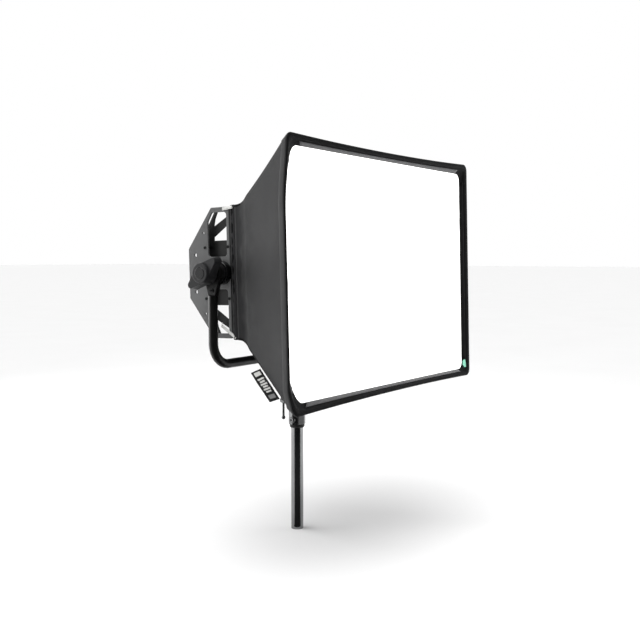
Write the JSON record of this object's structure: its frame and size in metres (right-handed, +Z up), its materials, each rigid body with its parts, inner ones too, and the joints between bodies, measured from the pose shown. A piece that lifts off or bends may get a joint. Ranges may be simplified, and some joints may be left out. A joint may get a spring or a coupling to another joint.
{
  "type": "softbox on a panel light",
  "caption": "Flared fabric softbox with a flat white diffuser on a wide LED panel light, held by a tubular yoke on a pin and riser tube.",
  "frame": {"origin": "centre of the riser tube's lower end", "axes": "+Z up along the riser, -Y towards the subject that is lit, +X to the right of someone who faces the diffuser"},
  "size_m": [0.856, 0.401, 0.9708],
  "materials": {
    "chrome_tube": "polished chrome plate",
    "black_rubber": "matt moulded rubber",
    "zinc_casting": "bright cast alloy, lightly polished",
    "steel": "zinc-plated turned steel",
    "black_powder_coat": "satin black powder coat",
    "black_steel": "black oxide screws",
    "black_plastic": "fine textured black plastic",
    "knob_plastic": "charcoal glass-filled plastic",
    "cap_plastic": "gloss black insert with a plain pale ring",
    "grey_plate": "mid grey textured powder coat, dark edges",
    "black_frame": "black powder coat",
    "black_disc": "gloss black with a bright turned rim",
    "black_anodised": "black anodised extrusion",
    "lens_acrylic": "opal acrylic",
    "board_white": "white solder mask",
    "led_phosphor": "yellow phosphor",
    "supply_case": "light perforated case around its boards",
    "board_green": "green solder mask",
    "display_glass": "dark display window",
    "socket_metal": "nickel shells on black flanges",
    "socket_blue": "blue locking inlet",
    "rocker_plastic": "gloss black rocker",
    "hook_tape": "black hook tape",
    "knob_rubber": "fluted soft rubber",
    "button_rubber": "grey silicone keys",
    "black_fabric": "black ripstop cloth, coated inside",
    "black_binding": "black webbing bound over a spring hoop",
    "hoop_steel": "spring steel rod",
    "white_diffusion": "white diffusion cloth",
    "rib_fibreglass": "black fibreglass rod",
    "woven_flag": "black woven tape with a plain stitched border",
    "green_tab": "mint green ribbon"
  },
  "bodies": {
    "stand": {"riser_tube": "chrome_tube", "receiver_ring": "black_rubber", "receiver_casting": "zinc_casting", "retaining_screw": "steel"},
    "clamp": {"clamp_screw": "steel", "clamp_handle": "steel"},
    "yoke": {"yoke_tube": "black_powder_coat", "pin_block": "black_powder_coat", "block_bolts": "black_steel", "spigot_pin": "zinc_casting", "arm_end_left": "black_powder_coat", "arm_end_right": "black_powder_coat", "friction_washers": "black_plastic", "arm_screws": "black_steel"},
    "knob_left": {"tilt_knob_left": "knob_plastic", "knob_cap_left": "cap_plastic", "tilt_stud_left": "steel"},
    "knob_right": {"tilt_knob_right": "knob_plastic", "knob_cap_right": "cap_plastic", "tilt_stud_right": "steel"},
    "head": {"side_plate_left": "grey_plate", "side_plate_right": "grey_plate", "end_frame_left": "black_frame", "end_frame_right": "black_frame", "pivot_disc_left": "black_disc", "pivot_disc_right": "black_disc", "plate_spacers": "black_steel", "plate_screws": "black_steel", "front_housing": "black_frame", "lens_panel": "lens_acrylic", "heat_sink": "black_anodised", "led_board": "board_white", "led_chips": "led_phosphor", "rear_box": "black_frame", "power_supply": "supply_case", "driver_board": "board_green", "control_panel": "black_plastic", "display_window": "display_glass", "data_sockets": "socket_metal", "power_inlet": "socket_blue", "switch_frame": "black_plastic", "hook_strips": "hook_tape"},
    "encoder_1": {"encoder_knob_1": "knob_rubber"},
    "encoder_2": {"encoder_knob_2": "knob_rubber"},
    "encoder_3": {"encoder_knob_3": "knob_rubber"},
    "button_1": {"push_button_1": "button_rubber"},
    "button_2": {"push_button_2": "button_rubber"},
    "rocker": {"power_rocker": "rocker_plastic"},
    "softbox": {"sleeve": "black_fabric", "panel_top": "black_fabric", "panel_bottom": "black_fabric", "panel_left": "black_fabric", "panel_right": "black_fabric", "front_hem": "black_binding", "front_hoop": "hoop_steel", "diffuser": "white_diffusion", "corner_ribs": "rib_fibreglass", "seam_flag": "woven_flag", "pull_tab": "green_tab"}
  },
  "joints": [
    {"name": "clamp_turn", "type": "hinge", "parent": "stand", "child": "clamp", "pos_m": [0, 0.03, 0.336], "axis": [0, 1, 0], "continuous": true},
    {"name": "pan", "type": "hinge", "parent": "stand", "child": "yoke", "pos_m": [0, 0, 0.41], "axis": [0, 0, 1], "continuous": true},
    {"name": "tilt", "type": "hinge", "parent": "yoke", "child": "head", "pos_m": [0, 0, 0.677], "axis": [-1, 0, 0], "range_deg": [-15, 90]},
    {"name": "knob_left_turn", "type": "hinge", "parent": "yoke", "child": "knob_left", "pos_m": [-0.35, 0, 0.677], "axis": [-1, 0, 0], "continuous": true},
    {"name": "knob_right_turn", "type": "hinge", "parent": "yoke", "child": "knob_right", "pos_m": [0.35, 0, 0.677], "axis": [1, 0, 0], "continuous": true},
    {"name": "softbox_slide", "type": "slide", "parent": "head", "child": "softbox", "axis": [0, -0.9996, 0.0279], "range_m": [0, 0.025]},
    {"name": "encoder_1_turn", "type": "hinge", "parent": "head", "child": "encoder_1", "pos_m": [0.036, 0.09929, 0.65022], "axis": [0, 0.9996, -0.0279], "continuous": true},
    {"name": "encoder_2_turn", "type": "hinge", "parent": "head", "child": "encoder_2", "pos_m": [0, 0.09929, 0.65022], "axis": [0, 0.9996, -0.0279], "continuous": true},
    {"name": "encoder_3_turn", "type": "hinge", "parent": "head", "child": "encoder_3", "pos_m": [-0.036, 0.09929, 0.65022], "axis": [0, 0.9996, -0.0279], "continuous": true},
    {"name": "button_1_press", "type": "slide", "parent": "head", "child": "button_1", "axis": [0, -0.9996, 0.0279], "range_m": [0, 0.001], "stiffness_N_per_m": 600, "springref_m": -0.0005},
    {"name": "button_2_press", "type": "slide", "parent": "head", "child": "button_2", "axis": [0, -0.9996, 0.0279], "range_m": [0, 0.001], "stiffness_N_per_m": 600, "springref_m": -0.0005},
    {"name": "rocker_flip", "type": "hinge", "parent": "head", "child": "rocker", "pos_m": [-0.2, 0.09736, 0.67428], "axis": [1, 0, 0], "range_deg": [-12, 0]}
  ]
}
